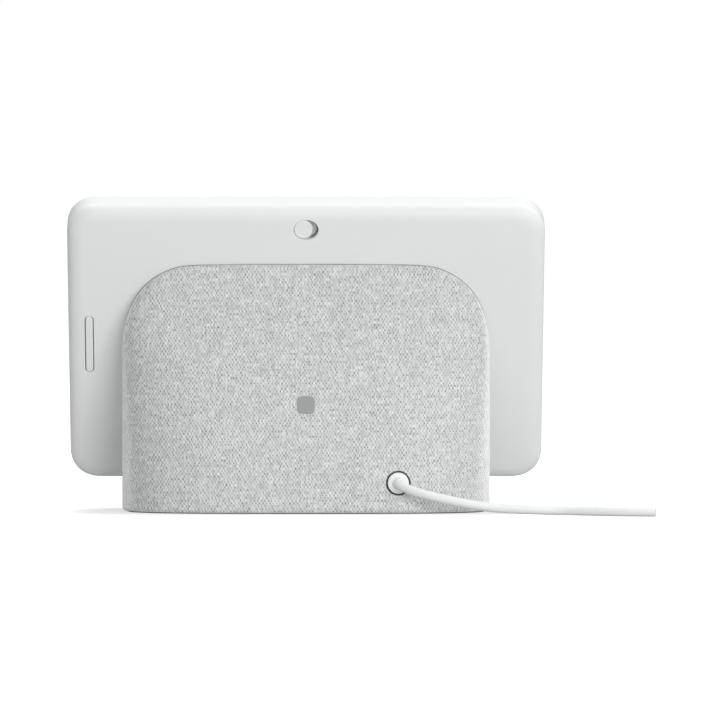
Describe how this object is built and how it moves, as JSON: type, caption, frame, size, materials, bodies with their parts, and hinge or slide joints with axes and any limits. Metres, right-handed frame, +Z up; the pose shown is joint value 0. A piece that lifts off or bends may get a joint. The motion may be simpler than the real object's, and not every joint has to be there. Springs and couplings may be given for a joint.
{
  "type": "smart display",
  "caption": "Tabletop smart display: a leaning glass-fronted screen module on a fabric-wrapped speaker base, with a mute slider, a volume rocker and a plug-in power lead.",
  "frame": {"origin": "centre of the rubber foot's underside, on the table", "axes": "+Z up; -Y the way the screen faces, so the fabric back and the power socket face +Y; +X completes the right-handed frame"},
  "size_m": [0.2186, 0.0849, 0.1178],
  "materials": {
    "white_shell": "fine moulded satin, warm white",
    "rocker_shell": "fine moulded satin, warm white",
    "fabric": "knitted melange, light grey and white yarns",
    "badge_grey": "plain matte grey tile",
    "glass": "polished cover glass with an opaque printed border",
    "lcd": "switched-off liquid crystal panel",
    "backlight": "light guide in a bright tray",
    "black_plastic": "moulded",
    "grey_plastic": "moulded",
    "orange": "printed warning patch",
    "aluminium": "pressed sheet",
    "steel": "plated sheet and turned parts",
    "circuit_board": "solder mask",
    "copper": "flexible circuit and winding",
    "ferrite": "sintered magnet",
    "paper_cone": "pressed pulp",
    "rubber_grey": "moulded foot",
    "rubber_black": "moulded",
    "cable_white": "soft moulded jacket"
  },
  "bodies": {
    "housing": {"antenna_left": "copper", "antenna_right": "copper", "backlight_unit": "backlight", "badge": "badge_grey", "base_plate": "grey_plastic", "base_screw_1": "steel", "base_screw_2": "steel", "base_screw_3": "steel", "base_screw_4": "steel", "base_shell": "grey_plastic", "counterweight": "steel", "cover_glass": "glass", "display_ribbon": "copper", "fabric_cover": "fabric", "heat_spreader": "aluminium", "lcd_cell": "lcd", "lcd_frame": "black_plastic", "light_sensor": "black_plastic", "main_board": "circuit_board", "microphone_left": "steel", "microphone_right": "steel", "mute_board": "circuit_board", "power_socket": "black_plastic", "processor_shield": "steel", "radio_shield": "steel", "rear_cover": "white_shell", "rocker_cradle": "black_plastic", "rocker_pin": "steel", "rubber_foot": "rubber_grey", "sensor_board": "circuit_board", "slide_switch": "steel", "socket_board": "circuit_board", "socket_grommet": "grey_plastic", "socket_wire": "rubber_black", "speaker_basket": "black_plastic", "speaker_gasket": "rubber_black", "speaker_magnet": "ferrite", "speaker_surround": "rubber_black", "speaker_wire": "rubber_black", "speaker_yoke": "steel", "stand_bracket": "steel", "stand_screw_1": "steel", "stand_screw_2": "steel", "stand_screw_3": "steel", "stand_screw_4": "steel", "top_plate": "steel", "volume_board": "circuit_board", "volume_down_switch": "steel", "volume_up_switch": "steel"},
    "mute_slider": {"mute_knob": "white_shell", "mute_carriage": "grey_plastic", "mute_indicator": "orange", "switch_lever": "black_plastic"},
    "volume_rocker": {"volume_rocker": "rocker_shell"},
    "driver_cone": {"speaker_cone": "paper_cone", "voice_coil": "copper", "spider": "paper_cone"},
    "power_lead": {"plug_body": "cable_white", "plug_barrel": "steel", "power_cable": "cable_white"}
  },
  "joints": [
    {"name": "mute_slide", "type": "slide", "parent": "housing", "child": "mute_slider", "axis": [-1, 0, 0], "range_m": [0, 0.002]},
    {"name": "volume_rock", "type": "hinge", "parent": "housing", "child": "volume_rocker", "pos_m": [0.0811, -0.01045, 0.06337], "axis": [1, 0, 0], "range_deg": [-1.3, 1.3]},
    {"name": "cone_travel", "type": "slide", "parent": "housing", "child": "driver_cone", "axis": [0, 0.9806, 0.196], "range_m": [-0.0015, 0.0015]},
    {"name": "plug_pull", "type": "slide", "parent": "housing", "child": "power_lead", "axis": [0, 1, 0], "range_m": [0, 0.02]}
  ]
}
